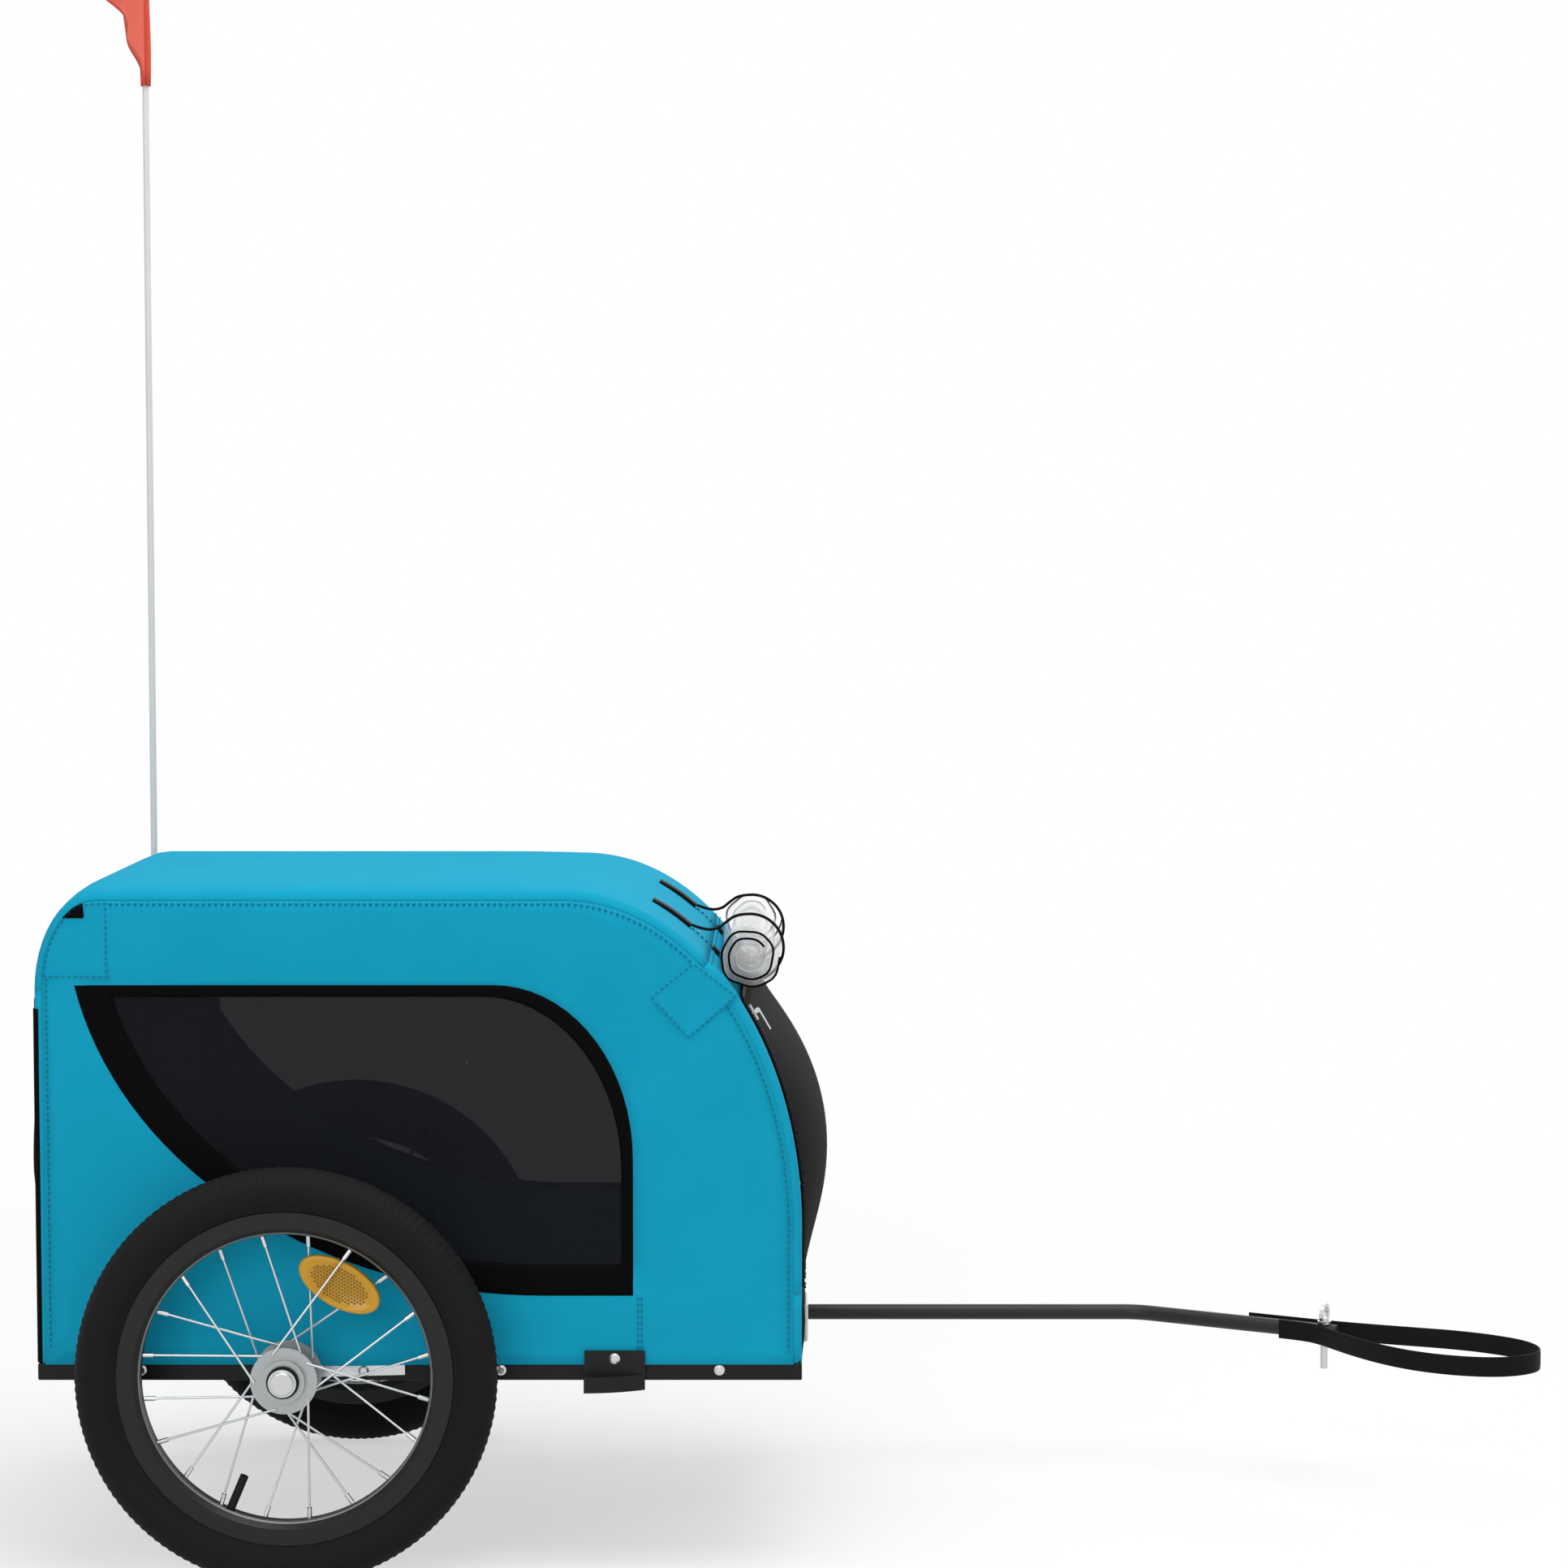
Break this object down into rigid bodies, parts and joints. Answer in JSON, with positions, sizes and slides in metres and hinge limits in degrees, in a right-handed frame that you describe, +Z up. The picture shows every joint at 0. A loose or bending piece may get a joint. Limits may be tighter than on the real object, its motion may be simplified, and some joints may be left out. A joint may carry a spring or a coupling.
{
  "type": "dog bike trailer",
  "caption": "Two-wheeled dog trailer for a bicycle with a cloth cabin, mesh windows and door, folding hoops, pull-out wheels, a swinging tow bar and a safety flag.",
  "frame": {"origin": "middle of the bounding box on the ground", "axes": "+X forward along the tow bar, +Y to the left side, +Z up"},
  "size_m": [1.466, 0.6262, 1.64],
  "materials": {
    "cloth_blue": "woven, matt",
    "cloth_black": "webbing and binding, matt",
    "mesh_black": "fine mesh",
    "frame_black": "powder coat",
    "tow_grey": "powder coat",
    "steel": "plated",
    "hub_silver": "satin",
    "rim_black": "satin",
    "tyre_black": "matt",
    "rubber_black": "matt",
    "amber": "prismatic",
    "red": "prismatic",
    "white": "prismatic",
    "clear_film": "clear film with black binding",
    "plastic_black": "moulded",
    "board": "plain",
    "pad_grey": "quilted",
    "pole_white": "glass fibre",
    "flag_red": "thin cloth"
  },
  "bodies": {
    "base": {"side_rail_right": "frame_black", "side_rail_left": "frame_black", "cross_members": "frame_black", "floor_panel": "board", "floor_pad": "pad_grey", "axle_socket_right": "steel", "axle_socket_left": "steel", "rail_screws": "steel", "cover_hooks": "plastic_black", "hoop_brackets": "frame_black", "roof_cover": "cloth_blue", "side_cover_right": "cloth_blue", "side_cover_left": "cloth_blue", "window_mesh_right": "mesh_black", "window_mesh_left": "mesh_black", "window_trim_right": "cloth_black", "window_trim_left": "cloth_black", "corner_patches": "cloth_blue", "rear_cover": "cloth_blue", "rear_pocket": "mesh_black", "rear_reflectors": "red", "front_frame_cover": "cloth_blue", "front_lower_cover": "cloth_black", "front_reflectors": "white", "rain_cover_roll": "clear_film", "roll_straps": "cloth_black", "tow_bracket": "frame_black", "flag_socket": "plastic_black"},
    "rear_hoop": {"rear_hoop": "frame_black"},
    "front_hoop": {"front_hoop": "frame_black"},
    "front_door": {"front_door": "mesh_black", "zipper_slider": "steel"},
    "zipper_pull": {"zipper_pull": "steel"},
    "right_axle": {"axle_right": "steel"},
    "left_axle": {"axle_left": "steel"},
    "right_wheel": {"tyre_right": "tyre_black", "inner_tube_right": "rubber_black", "rim_right": "rim_black", "spokes_right": "steel", "hub_right": "hub_silver", "bearings_right": "steel", "dust_ring_right": "rubber_black", "spoke_reflector_right": "amber"},
    "left_wheel": {"tyre_left": "tyre_black", "inner_tube_left": "rubber_black", "rim_left": "rim_black", "spokes_left": "steel", "hub_left": "hub_silver", "bearings_left": "steel", "dust_ring_left": "rubber_black", "spoke_reflector_left": "amber"},
    "right_button": {"push_button_right": "hub_silver"},
    "left_button": {"push_button_left": "hub_silver"},
    "tow_bar": {"tow_bar": "tow_grey", "safety_strap": "cloth_black"},
    "lock_knob": {"lock_knob": "plastic_black"},
    "hitch_pin": {"hitch_pin": "steel"},
    "flag": {"flag_pole": "pole_white", "flag": "flag_red"}
  },
  "joints": [
    {"name": "right_axle_pull", "type": "slide", "parent": "base", "child": "right_axle", "axis": [0, -1, 0], "range_m": [0, 0.06]},
    {"name": "right_wheel_spin", "type": "hinge", "parent": "right_axle", "child": "right_wheel", "pos_m": [-0.485, -0.28, 0.197], "axis": [0, 1, 0], "continuous": true},
    {"name": "right_button_press", "type": "slide", "parent": "right_axle", "child": "right_button", "axis": [0, 1, 0], "range_m": [0, 0.003], "stiffness_N_per_m": 800},
    {"name": "left_axle_pull", "type": "slide", "parent": "base", "child": "left_axle", "axis": [0, 1, 0], "range_m": [0, 0.06]},
    {"name": "left_wheel_spin", "type": "hinge", "parent": "left_axle", "child": "left_wheel", "pos_m": [-0.485, 0.28, 0.197], "axis": [0, 1, 0], "continuous": true},
    {"name": "left_button_press", "type": "slide", "parent": "left_axle", "child": "left_button", "axis": [0, -1, 0], "range_m": [0, 0.003], "stiffness_N_per_m": 800},
    {"name": "tow_bar_swing", "type": "hinge", "parent": "base", "child": "tow_bar", "pos_m": [-0.06, 0.185, 0.16], "axis": [0, 0, -1], "range_deg": [0, 95]},
    {"name": "lock_knob_turn", "type": "hinge", "parent": "base", "child": "lock_knob", "pos_m": [-0.06, 0.185, 0.136], "axis": [0, 0, 1], "range_deg": [0, 270]},
    {"name": "hitch_pin_lift", "type": "slide", "parent": "tow_bar", "child": "hitch_pin", "axis": [0, 0, 1], "range_m": [0, 0.05]},
    {"name": "front_door_open", "type": "hinge", "parent": "base", "child": "front_door", "pos_m": [-0.00407, 0, 0.26525], "axis": [0, -1, 0], "range_deg": [-90, 0]},
    {"name": "zipper_pull_swing", "type": "hinge", "parent": "front_door", "child": "zipper_pull", "pos_m": [-0.05098, -0.188, 0.52627], "axis": [0, -1, 0], "range_deg": [0, 100]},
    {"name": "rear_hoop_fold", "type": "hinge", "parent": "base", "child": "rear_hoop", "pos_m": [-0.629, 0, 0.222], "axis": [0, 1, 0], "range_deg": [0, 86]},
    {"name": "front_hoop_fold", "type": "hinge", "parent": "base", "child": "front_hoop", "pos_m": [-0.084, 0, 0.222], "axis": [0, 1, 0], "range_deg": [-80.5, 0]},
    {"name": "flag_lift", "type": "slide", "parent": "base", "child": "flag", "axis": [0, 0, 1], "range_m": [0, 0.12]}
  ],
  "couplings": [
    {"joint": "front_hoop_fold", "follows": "rear_hoop_fold", "ratio": -0.93513}
  ]
}
